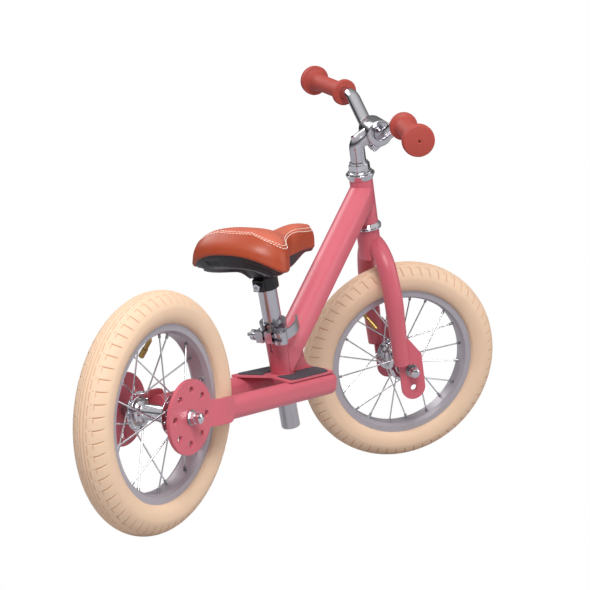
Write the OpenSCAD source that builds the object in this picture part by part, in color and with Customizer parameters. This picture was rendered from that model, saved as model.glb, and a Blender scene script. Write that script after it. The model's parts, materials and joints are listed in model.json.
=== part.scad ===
/* [Frame] */
// Distance between the wheel axles with the steering straight
wheelbase = 610; // [604:1:620]
// Angle of the head tube from the ground
head_angle = 73; // [72:0.5:74]
// Angle of the seat tube from the ground
seat_angle = 71; // [70:0.5:72]
// Where the seat tube's axis meets the top of the base rail
seat_x = 295; // [293:1:297]
// Outer radius of the down tube
down_r = 20.5; // [18:0.5:21]
// Outer radius of the seat tube
seat_tube_r = 14.3; // [14:0.1:15]
// Outer radius of the head tube
head_tube_r = 16.75; // [16.5:0.05:17]
// Height of the underside of the base rail
rail_low = 131; // [129:1:133]
// Height of the oval base tube
rail_h = 29.5; // [28:0.5:30]
// Width of the oval base tube
rail_w = 22; // [20:1:22]
// Outer width of the base
base_w = 102; // [100:1:104]
// Thickness of the deck plate
deck_t = 2.5; // [2:0.5:3]
// Thickness of each anti-slip pad
pad_t = 1.2; // [1:0.1:2]

/* [Wheels] */
// Outer radius of the tyres
tyre_r = 150; // [148:1:151]
// Radius of the tyre's round section
section_r = 24; // [23.5:0.5:24]
// Outer radius of the rim
rim_r = 110; // [109:0.5:110]
// Depth of the rim
rim_depth = 12; // [11:0.5:12]
// Width of the rim
rim_w = 29.4; // [29:0.2:30]
// Spokes in each wheel
spoke_count = 20; // [20:4:20]
// Radius of a hub flange
flange_r = 25; // [24:0.5:26]
// Distance between the two hub flanges
flange_gap = 52; // [51:1:53]
// Radius of the axles
axle_r = 4.5; // [4:0.1:4.5]
// Turning position of the rear valve
rear_valve_angle = 261; // [9:18:351]
// Turning position of the front valve
front_valve_angle = 225; // [9:18:351]

/* [Fork and steering] */
// How far the front axle lies ahead of the steering axis
fork_offset = 22; // [20:0.5:24]
// How far the steering is turned as stored, negative to the right
steer = -41; // [-60:1:30]
// Distance from the middle to the centre of each fork leg
leg_y = 52; // [51:0.5:53]
// Radius of a fork leg at the crown
leg_r_top = 13.5; // [13:0.5:14]
// Radius of a fork leg at the axle
leg_r_low = 11.2; // [11:0.2:12]
// Distance from the axle to the spare axle hole
spare_hole_drop = 27.5; // [26:0.5:30]
// Radius of the handlebar tube
bar_r = 9.5; // [9:0.5:11]
// Half the width of the handlebar at the inner grip flanges
grip_in_y = 115; // [112:1:118]
// Half the width of the handlebar at the outer grip flanges
grip_out_y = 204; // [200:1:210]

/* [Saddle] */
// Rear end of the saddle
saddle_rear = 150; // [145:1:155]
// Nose of the saddle
saddle_nose = 373; // [370:1:376]
// Half the width of the saddle at its widest place
saddle_half_w = 73; // [70:1:75]
// Half the width of the saddle's nose
nose_half_w = 21; // [19:1:23]
// Height of the saddle's top
saddle_top = 364; // [360:1:366]

/* [Hidden] */
$fn = 64;

// Gap between a bore and the piece fixed in it
fit_gap = 0.05;
// Wall of the frame tubes
tube_wall = 1.6;
// How far the turned front wheel leans from upright, as the sine of the lean
lean_sine = sin(steer) * cos(head_angle);
// Height of the turned wheel's centre with its tyre on the ground
front_centre_z = section_r + (tyre_r - section_r) * sqrt(1 - lean_sine * lean_sine);
// Foot of the steering axis, where a line square to it meets the front axle straight ahead
head_foot = [wheelbase - fork_offset * sin(head_angle), 0,
             front_centre_z - fork_offset * cos(steer) * cos(head_angle)];
// Top faces of the base rail and the deck
rail_top = rail_low + rail_h;
deck_top = rail_top + deck_t;
// Distance from the middle to the centre line of each side of the rail
rail_y = (base_w - rail_w) / 2;
rail_rear = 60;
// How far a bend is let into the straight tube beside it
let_in = 0.06;
// Heights along the steering axis
leg_end = 14;
crown_low = 168;
crown_top = 213.1;
head_low = 221.5;
head_high = 287;
steerer_top = 308;
stem_corner = 340;
// Place of the handlebar clamp in the steering frame
clamp_pos = [31, 0, 351];
clamp_r = 19;
clamp_half_w = 19;
quill_r = 11.1;
steerer_r = 12.7;
// Grip line: height, rise, reach at the inner flange and backward sweep to the outer flange
grip_h = 384;
grip_rise = 3.5;
grip_reach = 31;
grip_sweep = 14.5;
// Rear and front dropout plates
plate_in = 47;
plate_t = 4.5;
disc_r = 46;
disc_hole_r = 4.5;
disc_pcd = 66;
tongue_end = 91;
front_plate_t = 4;
front_plate_r = 18;
axle_hole_r = 4.75;
// Hub details
hub_end = 31;
race_floor = 22.9;
race_r = 11.9;
ball_r = 2.38;
ball_ring = 9.3;
ball_y = 25.6;
hub_balls = 9;
headset_ball_r = 1.95;
headset_ring = 16.2;
headset_ball_count = 20;
spoke_r = 1;
spoke_ring = 21.5;
rim_bed = rim_r - rim_depth + 2;
// Seat tube, post and clamps: heights along the seat tube's axis from the rail's top
seat_tube_top = 79;
post_r = 12.7;
post_low = -76;
post_high = 146.5;
collar_low = 57;
collar_r = 18;
release_pos = [-21, 0, 68];
pin_y = -22.5;
slot_w = 3;

function unit(v) = v / norm(v);
function smooth(t) = t <= 0 ? 0 : t >= 1 ? 1 : t * t * (3 - 2 * t);
function blend(a, b, t) = a + (b - a) * smooth(t);
function mirror_points(p) = concat(p, [for (i = [len(p) - 1:-1:0]) if (p[i].y > 0.001) [p[i].x, -p[i].y]]);

// Points along a round corner at p[i], between its neighbours, of radius r
function corner(p, i, r, n = 6) =
    let (a = p[i])
    let (u = unit(p[(i + len(p) - 1) % len(p)] - a))
    let (v = unit(p[(i + 1) % len(p)] - a))
    let (half = acos(u * v) / 2)
    let (c = a + unit(u + v) * r / sin(half))
    let (s = a + u * r / tan(half) - c)
    let (e = a + v * r / tan(half) - c)
    let (turn = 180 - 2 * half)
    [for (k = [0:n]) c + (s * sin(turn * (1 - k / n)) + e * sin(turn * k / n)) / sin(turn)];

// Outline p with its corners rounded to the radii in r
function rounded(p, r) = [for (i = [0:len(p) - 1]) each (r[i] == 0 ? [p[i]] : corner(p, i, r[i]))];

// Moves a piece drawn along +Z from the origin to run from a towards b
module aim(a, b) {
    d = b - a;
    translate(a)
        rotate([0, acos(d.z / norm(d)), atan2(d.y, d.x)])
            children();
}

module rod(a, b, r, r_end = -1) {
    aim(a, b)
        cylinder(h = norm(b - a), r1 = r, r2 = r_end < 0 ? r : r_end);
}

// Part of a torus that joins a tube arriving along d1 to one leaving along d2
module bend(start, d1, d2, bend_r, r) {
    side = unit(d2 - d1 * (d1 * d2));
    z = cross(-side, d1);
    c = start + side * bend_r;
    multmatrix([[-side.x, d1.x, z.x, c.x], [-side.y, d1.y, z.y, c.y], [-side.z, d1.z, z.z, c.z], [0, 0, 0, 1]])
        rotate_extrude(angle = acos(d1 * d2))
            translate([bend_r, 0])
                circle(r = r);
}

// Round tube along the points p, bent to bend_r at each inner point; each bend is let into the straights
module tube_path(p, r, bend_r) {
    n = len(p);
    d = [for (i = [0:n - 2]) unit(p[i + 1] - p[i])];
    trim = [for (i = [0:n - 1]) i == 0 || i == n - 1 ? 0 : bend_r * tan(acos(d[i - 1] * d[i]) / 2)];
    for (i = [0:n - 2])
        rod(p[i] + d[i] * max(0, trim[i] - let_in), p[i + 1] - d[i] * max(0, trim[i + 1] - let_in), r);
    for (i = [1:n - 2])
        bend(p[i] - d[i - 1] * trim[i], d[i - 1], d[i], bend_r, r - let_in / 2);
}

// Steering axis upright at the head tube: +X forward, +Z up the axis, fixed to the frame
module head_frame() {
    translate(head_foot)
        rotate([0, head_angle - 90, 0])
            children();
}

// The same frame, turned with the steering
module steering_frame() {
    head_frame()
        rotate([0, 0, steer])
            children();
}

// Seat tube's axis as +Z, from the rail's top
module seat_frame() {
    translate([seat_x, 0, rail_top])
        rotate([0, seat_angle - 90, 0])
            children();
}

// Wheel frames: +Z of the wheel's own drawing lies along the axle, to the left
module front_wheel_frame() {
    steering_frame()
        translate([fork_offset, 0, 0])
            rotate([0, 90 - head_angle, 0])
                rotate([-90, 0, 0])
                    children();
}

module rear_wheel_frame() {
    translate([0, 0, tyre_r])
        rotate([-90, 0, 0])
            children();
}

// One copy on each side of the wheel
module both_sides() {
    children();
    mirror([0, 0, 1])
        children();
}

// ---- Frame ----

module head_tube() {
    color("palevioletred")
        head_frame()
            difference() {
                translate([0, 0, head_low])
                    cylinder(h = head_high - head_low, r = head_tube_r);
                translate([0, 0, head_low - 1])
                    cylinder(h = head_high - head_low + 2, r = 15 + fit_gap);
            }
}

// Outline of the down tube in plan, squeezed to the seat tube's width behind and the head tube's in front
down_half = [[240, 14], [285, 14], [330, 20.6], [480, 20.6], [515, 16.5], [560, 16.5]];
down_low = [289, 0, 177.7];
down_high = [512, 0, 396.2];

module down_body(inset) {
    intersection() {
        rod(down_low - 30 * unit(down_high - down_low), down_high, down_r - inset);
        translate([0, 0, rail_top])
            linear_extrude(height = 300)
                polygon(mirror_points([for (p = down_half) p - [0, inset]]));
    }
}

module down_tube() {
    gusset = [[296, deck_top], [372, deck_top], [372, deck_top + 1], [342, 196], [324, 200], [296, 178]];
    color("palevioletred")
        difference() {
            union() {
                down_body(0);
                translate([0, 2.5, 0])
                    rotate([90, 0, 0])
                        linear_extrude(height = 5)
                            difference() {
                                polygon(gusset);
                                translate([374, deck_top + 29])
                                    circle(r = 28);
                            }
            }
            down_body(tube_wall);
            head_frame() {
                cylinder(h = 400, r = head_tube_r);
                translate([0, -30, 150])
                    cube([60, 60, 200]);
            }
            seat_frame() {
                translate([0, 0, -80])
                    cylinder(h = 200, r = seat_tube_r);
                translate([-60, -30, -80])
                    cube([60, 60, 200]);
            }
            translate([200, -40, deck_top - 100])
                cube([250, 80, 100]);
        }
}

module seat_tube() {
    color("palevioletred")
        seat_frame()
            difference() {
                translate([0, 0, rail_low - rail_top])
                    cylinder(h = seat_tube_top - rail_low + rail_top, r = seat_tube_r);
                translate([0, 0, rail_low - rail_top - 1])
                    cylinder(h = 200, r = post_r + fit_gap);
                translate([-seat_tube_r - 1, -slot_w / 2, 40])
                    cube([seat_tube_r, slot_w, 50]);
            }
}

module oval(w, h) {
    for (s = [-1, 1])
        translate([0, s * (h - w) / 2])
            circle(d = w);
    square([w, h - w], center = true);
}

module rail_section(wall, step = 0) {
    difference() {
        oval(rail_w - 2 * step, rail_h - 2 * step);
        oval(rail_w - 2 * wall + 2 * step, rail_h - 2 * wall + 2 * step);
    }
}

// The hollow U of the base, bent in plan with its ends to the rear; each bend is let into the straights
module rail_sweep(wall) {
    front_x = 358;
    bulge_x = 373;
    p = [[rail_rear, -rail_y], [front_x, -rail_y], [bulge_x, 0], [front_x, rail_y], [rail_rear, rail_y]];
    radius = [0, 14, 60, 14, 0];
    d = [for (i = [0:3]) unit(p[i + 1] - p[i])];
    turn = [0, acos(d[0] * d[1]), acos(d[1] * d[2]), acos(d[2] * d[3]), 0];
    trim = [for (i = [0:4]) max(0, radius[i] * tan(turn[i] / 2) - let_in)];
    for (i = [0:3])
        translate(p[i] + d[i] * trim[i])
            rotate([90, 0, atan2(d[i].y, d[i].x) + 90])
                linear_extrude(height = norm(p[i + 1] - p[i]) - trim[i] - trim[i + 1])
                    rail_section(wall);
    for (i = [1:3])
        translate(p[i] - d[i - 1] * (trim[i] + let_in) + [-d[i - 1].y, d[i - 1].x] * radius[i])
            rotate([0, 0, atan2(d[i - 1].y, d[i - 1].x) - 90])
                rotate_extrude(angle = turn[i])
                    translate([radius[i], 0])
                        rail_section(wall, let_in / 2);
}

// The base tube, with a vented cap welded into each rear end
module base_rail() {
    color("palevioletred")
        translate([0, 0, rail_low + rail_h / 2]) {
            rail_sweep(tube_wall);
            for (s = [-1, 1])
                translate([rail_rear, s * rail_y, 0])
                    rotate([90, 0, 90])
                        linear_extrude(height = 2)
                            difference() {
                                oval(rail_w - tube_wall, rail_h - tube_wall);
                                circle(r = 2.5);
                            }
        }
}

// Half outlines in plan, from the middle line outwards
deck_half = [[260, 0], [240, 36], [233, 47], [356, 47], [371, 18], [376, 0]];
deck_radii = [0, 10, 6, 12, 10, 0];

module deck_plate() {
    outline = rounded(deck_half, deck_radii);
    color("palevioletred")
        difference() {
            translate([0, 0, rail_top])
                linear_extrude(height = deck_t)
                    polygon(mirror_points(outline));
            seat_frame()
                translate([0, 0, -60])
                    cylinder(h = 100, r = seat_tube_r);
        }
}

module foot_pads() {
    outline = [[249, 41], [263, 11], [281, 18], [303, 18], [314, 8], [368, 7], [359, 28], [345, 43], [256, 45]];
    color("dimgray")
        for (s = [0, 1])
            mirror([0, s, 0])
                translate([0, 0, deck_top])
                    linear_extrude(height = pad_t)
                        polygon(rounded(outline, [4, 3, 6, 6, 5, 4, 10, 12, 5]));
}

module dropout_plate() {
    plan = [[0, plate_in], [0, plate_in + plate_t], [50, plate_in + plate_t], [58, base_w / 2 + plate_t],
            [tongue_end, base_w / 2 + plate_t], [tongue_end, base_w / 2], [60, base_w / 2], [52, plate_in]];
    arm_low = 132;
    arm_h = 33;
    difference() {
        union() {
            translate([0, plate_in, tyre_r])
                rotate([-90, 0, 0])
                    cylinder(h = plate_t, r = disc_r);
            translate([0, 0, arm_low])
                linear_extrude(height = arm_h)
                    polygon(plan);
        }
        translate([0, plate_in - 1, tyre_r])
            rotate([-90, 0, 0]) {
                cylinder(h = 20, r = axle_hole_r);
                for (k = [0:7])
                    rotate([0, 0, 45 * k])
                        translate([disc_pcd / 2, 0, 0])
                            cylinder(h = 20, r = disc_hole_r);
            }
        tongue_corners(arm_low, arm_h);
    }
}

// Rounds the front end of the tongue
module tongue_corners(low, h) {
    r = 9;
    for (s = [0, 1])
        translate([tongue_end - r, 40, low + h / 2])
            mirror([0, 0, s])
                translate([0, 0, h / 2 - r])
                    rotate([-90, 0, 0])
                        difference() {
                            translate([0, -r - 1, 0])
                                cube([r + 1, r + 1, 30]);
                            translate([0, 0, -1])
                                cylinder(h = 32, r = r);
                        }
}

module dropout_plates() {
    color("palevioletred")
        for (s = [0, 1])
            mirror([0, s, 0])
                dropout_plate();
}

// ---- Headset ----

// Cup drawn with its skirt along +Z, its mouth below and a pocket for the balls
module cup(brim_r, depth, pocket) {
    rotate_extrude()
        polygon([[13.4, pocket - depth], [18.6, pocket - depth], [18.6, -depth], [brim_r, -depth],
                 [brim_r, -depth + 1.5], [head_tube_r + 0.6, 0], [15, 0], [15, 9], [13.4, 9]]);
}

module upper_cup() {
    color("silver")
        head_frame()
            translate([0, 0, head_high])
                mirror([0, 0, 1])
                    cup(20.8, 9, 5.6);
}

module lower_cup() {
    color("silver")
        head_frame()
            translate([0, 0, head_low])
                cup(20.5, 5.8, 4.3);
}

module crown_race() {
    color("silver")
        steering_frame()
            translate([0, 0, crown_top])
                rotate_extrude()
                    polygon([[steerer_r + fit_gap, 0], [20.4, 0], [20.4, 1.7], [17.6, 2.8], [14.2, 2.8],
                             [13.1, 3.6], [steerer_r + fit_gap, 3.6]]);
}

module adjusting_race() {
    color("silver")
        steering_frame()
            difference() {
                translate([0, 0, head_high + 5.6])
                    rotate_extrude()
                        polygon([[steerer_r + fit_gap, 0], [13.2, 0], [14.2, 1.9], [18, 1.9], [18, 6],
                                 [15.6, 6.9], [steerer_r + fit_gap, 6.9]]);
            }
}

module headset_washer() {
    color("silver")
        steering_frame()
            translate([0, 0, head_high + 12.5])
                difference() {
                    cylinder(h = 1.5, r = 16);
                    translate([0, 0, -1])
                        cylinder(h = 4, r = steerer_r + fit_gap);
                }
}

module headset_locknut() {
    color("silver")
        steering_frame()
            translate([0, 0, head_high + 14])
                difference() {
                    union() {
                        intersection() {
                            cylinder(h = 8.5, r = 16.4, $fn = 6);
                            cylinder(h = 8.5, r = 15.8);
                        }
                        translate([0, 0, 8.5])
                            cylinder(h = 3, r = 13.6);
                    }
                    translate([0, 0, -1])
                        cylinder(h = 9.5, r = steerer_r + fit_gap);
                    cylinder(h = 20, r = quill_r + 0.2);
                }
}

module headset_balls() {
    color("lightgray")
        steering_frame()
            for (h = [head_low - 3.55, head_high + 5.45], k = [0:headset_ball_count - 1])
                rotate([0, 0, 360 / headset_ball_count * k])
                    translate([headset_ring, 0, h])
                        sphere(r = headset_ball_r, $fn = 24);
}

// ---- Fork ----

module fork_steerer() {
    color("palevioletred")
        steering_frame()
            difference() {
                union() {
                    translate([0, 0, crown_low])
                        cylinder(h = crown_top - crown_low, r = 16.5);
                    translate([0, 0, crown_top])
                        cylinder(h = steerer_top - crown_top, r = steerer_r);
                }
                translate([0, 0, crown_low - 1])
                    cylinder(h = 200, r = quill_r + fit_gap);
            }
}

module ring(r, wall) {
    difference() {
        circle(r = r);
        circle(r = r - wall);
    }
}

// One leg: straight beside the wheel, then arched in over the tyre to the middle of the crown
module leg_tube(wall) {
    sweep_r = 150;
    arch_r = 50;
    lean = 20;
    straight_top = 102.5;
    step = let_in / 2;
    knee = [leg_y - sweep_r, straight_top];
    hip = knee + (sweep_r - arch_r) * [cos(lean), sin(lean)];
    translate([7.5, 0, 0]) {
        translate([0, leg_y, 0])
            difference() {
                translate([0, 0, leg_end])
                    cylinder(h = straight_top + let_in - leg_end, r1 = leg_r_low, r2 = leg_r_top);
                translate([0, 0, leg_end + 2])
                    cylinder(h = straight_top - leg_end, r1 = leg_r_low - wall, r2 = leg_r_top - wall);
            }
        translate([0, knee.x, knee.y])
            rotate([90, 0, 90])
                rotate_extrude(angle = lean + 0.1)
                    translate([sweep_r, 0])
                        ring(leg_r_top - step, wall - 2 * step);
        translate([0, hip.x, hip.y])
            rotate([90, 0, 90])
                rotate([0, 0, lean])
                    rotate_extrude(angle = 90 - lean)
                        translate([arch_r, 0])
                            ring(leg_r_top - 2 * step, wall - 4 * step);
    }
}

module fork_leg() {
    difference() {
        leg_tube(tube_wall);
        cylinder(h = 400, r = 16.5);
        dropout_solid(0);
        translate([-50, -100, 100])
            cube([100, 100, 120]);
    }
}

module fork_leg_left() {
    color("palevioletred")
        steering_frame()
            fork_leg();
}

module fork_leg_right() {
    color("palevioletred")
        steering_frame()
            mirror([0, 1, 0])
                fork_leg();
}

// Flat fork end, drawn in side view: forward across, up the leg
module dropout_solid(hole_r) {
    r = front_plate_r;
    x = fork_offset;
    edge = [[x - r, -spare_hole_drop], [x + r, -spare_hole_drop], [x + r, 22], [x, 51], [7.5, 60], [-3, 60],
            [-3, 30], [x - r, 14]];
    translate([0, plate_in + front_plate_t, 0])
        rotate([90, 0, 0])
            linear_extrude(height = front_plate_t)
                difference() {
                    union() {
                        polygon(edge);
                        translate([x, -spare_hole_drop])
                            circle(r = r);
                    }
                    if (hole_r > 0) {
                        translate([x, 0])
                            circle(r = hole_r);
                        translate([x, -spare_hole_drop])
                            circle(r = hole_r);
                    }
                }
}

module fork_dropouts() {
    color("palevioletred")
        steering_frame()
            for (s = [0, 1])
                mirror([0, s, 0])
                    dropout_solid(axle_hole_r);
}

// ---- Stem and handlebar ----

module stem() {
    start = [0, 0, stem_corner];
    arm = unit(clamp_pos - start);
    slot_turn = 29;
    color("silver")
        steering_frame()
            difference() {
                union() {
                    translate([0, 0, 226])
                        cylinder(h = stem_corner - 226 + 6, r = quill_r);
                    rod(start - 7 * arm, clamp_pos, 11.6);
                    translate([clamp_pos.x, clamp_half_w, clamp_pos.z])
                        rotate([90, 0, 0])
                            cylinder(h = 2 * clamp_half_w, r = clamp_r);
                    translate([clamp_pos.x, 0, clamp_pos.z])
                        rotate([0, -slot_turn, 0])
                            translate([-21, -9, -18.5])
                                cube([22, 18, 14]);
                }
                translate([clamp_pos.x, 40, clamp_pos.z])
                    rotate([90, 0, 0])
                        cylinder(h = 80, r = bar_r + fit_gap);
                translate([clamp_pos.x, 0, clamp_pos.z])
                    rotate([0, -slot_turn, 0]) {
                        translate([-32, -30, -10])
                            cube([32, 60, 2.4]);
                        translate([-15, 0, -40])
                            cylinder(h = 42, r = 3.05);
                        translate([-15, 0, -40])
                            cylinder(h = 24, r = 5.4);
                    }
                translate([0, 0, 200])
                    cylinder(h = 170, r = 4.1);
                translate([0, 0, 343])
                    cylinder(h = 30, r = 6.6);
            }
}

module stem_bolt() {
    color("silver")
        steering_frame()
            difference() {
                union() {
                    translate([0, 0, 207])
                        cylinder(h = 137, r = 4);
                    translate([0, 0, 343])
                        cylinder(h = 7, r = 6.5);
                }
                translate([0, 0, 346])
                    cylinder(h = 8, r = 3.4, $fn = 6);
            }
}

module stem_wedge() {
    color("silver")
        steering_frame()
            difference() {
                translate([0, 0, 204])
                    cylinder(h = 21.8, r = quill_r);
                translate([0, 0, 200])
                    cylinder(h = 40, r = 4 + fit_gap);
                translate([-20, -20, 222])
                    rotate([0, 25, 0])
                        cube([50, 40, 30]);
            }
}

module bar_clamp_bolt() {
    color("silver")
        steering_frame()
            translate([clamp_pos.x, 0, clamp_pos.z])
                rotate([0, -29, 0])
                    translate([-15, 0, 0])
                        difference() {
                            union() {
                                translate([0, 0, -17])
                                    cylinder(h = 17, r = 3);
                                translate([0, 0, -22])
                                    cylinder(h = 5.9, r = 5.2);
                            }
                            translate([0, 0, -23])
                                cylinder(h = 4, r = 2.9, $fn = 6);
                        }
}

// Inner and outer ends of the left grip's axis
grip_a = [grip_reach, grip_in_y, grip_h];
grip_b = [grip_reach - grip_sweep, grip_out_y, grip_h + grip_rise];
grip_dir = unit(grip_b - grip_a);

module handlebar() {
    bend_at = grip_a + (92 - grip_in_y) / grip_dir.y * grip_dir;
    half = [[clamp_pos.x, 34, clamp_pos.z], bend_at, grip_b + 2 * grip_dir];
    color("silver")
        steering_frame()
            difference() {
                tube_path(concat([for (i = [2:-1:0]) [half[i].x, -half[i].y, half[i].z]], half), bar_r, 32);
                for (s = [0, 1])
                    mirror([0, s, 0])
                        rod(grip_a, grip_b + 4 * grip_dir, bar_r - 1.5);
            }
}

// Rubber grip: a spool with a wide outer flange, closed at the outer end
module grip() {
    body_r = 12.2;
    inner_flange_r = 19.2;
    outer_flange_r = 22;
    length = norm(grip_b - grip_a);
    aim(grip_a, grip_b)
        difference() {
            rotate_extrude()
                polygon([[0, length + 8], [outer_flange_r - 2.5, length + 8], [outer_flange_r, length + 5.5],
                         [outer_flange_r, length - 3], [outer_flange_r - 1.5, length - 4.5],
                         [body_r + 1.5, length - 6], [body_r, length - 8], [body_r, 9], [body_r + 2, 7],
                         [inner_flange_r - 1, 4.5], [inner_flange_r, 3.5], [inner_flange_r, -2],
                         [inner_flange_r - 1, -3], [0, -3]]);
            translate([0, 0, -4])
                cylinder(h = length + 6.5, r = bar_r + fit_gap);
            translate([0, 0, length])
                cylinder(h = 20, r = 1.5);
        }
}

module left_grip() {
    color("indianred")
        steering_frame()
            grip();
}

module right_grip() {
    color("indianred")
        steering_frame()
            mirror([0, 1, 0])
                grip();
}

// ---- Wheels, drawn about the axle as +Z ----

module tyre() {
    color("wheat")
        rotate_extrude($fn = 96)
            difference() {
                union() {
                    difference() {
                        translate([tyre_r - section_r, 0])
                            circle(r = section_r);
                        translate([tyre_r - section_r, 0])
                            circle(r = section_r - 2.6);
                        translate([90, -rim_w / 2 - 5])
                            square([rim_r - 90 + 0.3, rim_w + 10]);
                    }
                    for (s = [-1, 1]) {
                        translate([rim_r - 5.5, s > 0 ? 10.2 : -13.3])
                            square([8, 3.1]);
                        translate([rim_r + 0.3, s > 0 ? 10.2 : -16.5])
                            square([2.4, 6.3]);
                    }
                }
            }
}

module inner_tube() {
    color("dimgray")
        rotate_extrude($fn = 96)
            translate([tyre_r - section_r + 1.5, 0])
                difference() {
                    circle(r = 17.3);
                    circle(r = 16);
                }
}

// Rim holes lie along each spoke's own line
module each_spoke() {
    per_side = spoke_count / 2;
    step = 360 / per_side;
    for (s = [1, -1], k = [0:per_side - 1]) {
        out = k % 2;
        a0 = step * k + (s > 0 ? 0 : step / 2);
        a1 = a0 + (out == 1 ? -step : step);
        y = s * (flange_gap / 2 + (out == 1 ? 2.4 : -2.4));
        hub_point = [spoke_ring * cos(a0), spoke_ring * sin(a0), y];
        rim_point = [(rim_bed - 2) * cos(a1), (rim_bed - 2) * sin(a1), s * 4];
        $hub_point = hub_point;
        $rim_point = rim_point;
        $side = s;
        $out = out;
        children();
    }
}

module rim() {
    h = rim_w / 2;
    wall = 1.3;
    bed_edge = rim_r - 5.8;
    half = [[bed_edge, 8.5], [bed_edge, h - wall], [rim_r, h - wall], [rim_r, h], [rim_r - 8.5, h],
            [rim_r - rim_depth, h - 5.2]];
    well = [[rim_bed, -6.5], [rim_bed, 6.5]];
    color("lavender")
        difference() {
            rotate_extrude($fn = 96)
                polygon(concat(well, half, [for (i = [len(half) - 1:-1:0]) [half[i].x, -half[i].y]]));
            each_spoke()
                aim($rim_point, $rim_point + ($rim_point - $hub_point))
                    translate([0, 0, -4])
                        cylinder(h = 12, r = 2.05, $fn = 24);
            children();
        }
}

module rim_valve_hole(angle) {
    rotate([0, 0, angle])
        rotate([0, 90, 0])
            translate([0, 0, rim_r - rim_depth - 5])
                cylinder(h = 12, r = 3.2);
}

module spokes() {
    color("gainsboro")
        each_spoke() {
            rod($hub_point, $rim_point + 1.2 * unit($rim_point - $hub_point), spoke_r, spoke_r);
            z_dir = $side * ($out == 1 ? -1 : 1);
            translate($hub_point + [0, 0, -z_dir])
                mirror([0, 0, z_dir > 0 ? 0 : 1]) {
                    cylinder(h = 5.2, r = spoke_r + 0.05);
                    translate([0, 0, 5])
                        cylinder(h = 0.9, r = 1.8);
                }
        }
}

module nipples() {
    color("silver")
        each_spoke()
            aim($rim_point, $rim_point + ($rim_point - $hub_point))
                difference() {
                    union() {
                        translate([0, 0, -6])
                            cylinder(h = 9.5, r = 1.9);
                        translate([0, 0, 3])
                            cylinder(h = 1.6, r = 2.7);
                    }
                    translate([0, 0, -7])
                        cylinder(h = 9, r = spoke_r + 0.05);
                }
}

module hub() {
    f = flange_gap / 2;
    half = [[10, 15.5], [14, 17], [14, 20], [18, 21.5], [18, f - 1.3], [flange_r, f - 1.3], [flange_r, f - 0.3],
            [20, f + 1.3], [15.5, f + 1.3], [15.5, hub_end], [race_r, hub_end], [race_r, race_floor],
            [6.5, race_floor]];
    color("silver")
        difference() {
            rotate_extrude()
                polygon(concat(half, [for (i = [len(half) - 1:-1:0]) [half[i].x, -half[i].y]]));
            each_spoke()
                translate([$hub_point.x, $hub_point.y, $side * f - 3])
                    cylinder(h = 6, r = spoke_r + 0.3, $fn = 24);
        }
}

module hub_ball_rows() {
    color("lightgray")
        both_sides()
            for (k = [0:hub_balls - 1])
                rotate([0, 0, 360 / hub_balls * k])
                    translate([ball_ring, 0, ball_y])
                        sphere(r = ball_r, $fn = 24);
}

// Bent valve: a short stub through the rim, then a stem that leans to one side, with its cap
module valve(angle, side) {
    root = [rim_r - rim_depth + 2, 0, 0];
    knee = [rim_r - rim_depth - 7, 0, 0];
    tip = knee + [-20, 0, 14 * side];
    toward = unit(tip - knee);
    color("goldenrod")
        rotate([0, 0, angle]) {
            rod(root, knee, 2.9);
            translate(knee)
                sphere(r = 3);
            rod(knee, tip, 2.85);
            rod(knee + 13 * toward, tip + toward, 3.7);
        }
}

module axle() {
    color("dimgray")
        translate([0, 0, -62])
            cylinder(h = 124, r = axle_r);
}

module cones() {
    color("darkgray")
        both_sides()
            rotate_extrude()
                polygon([[axle_r + fit_gap, 24], [6, 24], [6.6, 25], [6.6, 28.3], [8.6, 30], [8.6, 36],
                         [axle_r + fit_gap, 36]]);
}

module locknuts() {
    color("darkgray")
        both_sides()
            difference() {
                union() {
                    translate([0, 0, 36])
                        cylinder(h = 5.5, r = 9, $fn = 6);
                    translate([0, 0, 41.5])
                        cylinder(h = plate_in - 41.5, r = 7);
                }
                translate([0, 0, 30])
                    cylinder(h = 20, r = axle_r + fit_gap);
            }
}

module washers(face) {
    color("silver")
        both_sides()
            translate([0, 0, face])
                difference() {
                    cylinder(h = 1.5, r = 9.5);
                    translate([0, 0, -1])
                        cylinder(h = 4, r = axle_r + fit_gap);
                }
}

// Domed cap nut over the end of the axle
module axle_nuts(face) {
    top = 68 - face;
    color("silver")
        both_sides()
            translate([0, 0, face])
                difference() {
                    union() {
                        cylinder(h = 6.5, r = 8.3, $fn = 6);
                        intersection() {
                            translate([0, 0, top - 11])
                                sphere(r = 11);
                            cylinder(h = top, r = 6.6);
                        }
                    }
                    translate([0, 0, -1])
                        cylinder(h = 64 - face, r = axle_r + fit_gap);
                }
}

module front_tyre() { front_wheel_frame() tyre(); }
module front_inner_tube() { front_wheel_frame() inner_tube(); }
module front_rim() { front_wheel_frame() rim() rim_valve_hole(front_valve_angle); }
module front_spokes() { front_wheel_frame() spokes(); }
module front_nipples() { front_wheel_frame() nipples(); }
module front_hub() { front_wheel_frame() hub(); }
module front_valve() { front_wheel_frame() valve(front_valve_angle, -1); }
module front_hub_balls() { front_wheel_frame() hub_ball_rows(); }
module front_axle() { front_wheel_frame() axle(); }
module front_cones() { front_wheel_frame() cones(); }
module front_locknuts() { front_wheel_frame() locknuts(); }
module front_washers() { front_wheel_frame() washers(plate_in + front_plate_t); }
module front_axle_nuts() { front_wheel_frame() axle_nuts(plate_in + front_plate_t + 1.5); }
module rear_tyre() { rear_wheel_frame() tyre(); }
module rear_inner_tube() { rear_wheel_frame() inner_tube(); }
module rear_rim() { rear_wheel_frame() rim() rim_valve_hole(rear_valve_angle); }
module rear_spokes() { rear_wheel_frame() spokes(); }
module rear_nipples() { rear_wheel_frame() nipples(); }
module rear_hub() { rear_wheel_frame() hub(); }
module rear_valve() { rear_wheel_frame() valve(rear_valve_angle, 1); }
module rear_hub_balls() { rear_wheel_frame() hub_ball_rows(); }
module rear_axle() { rear_wheel_frame() axle(); }
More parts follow.
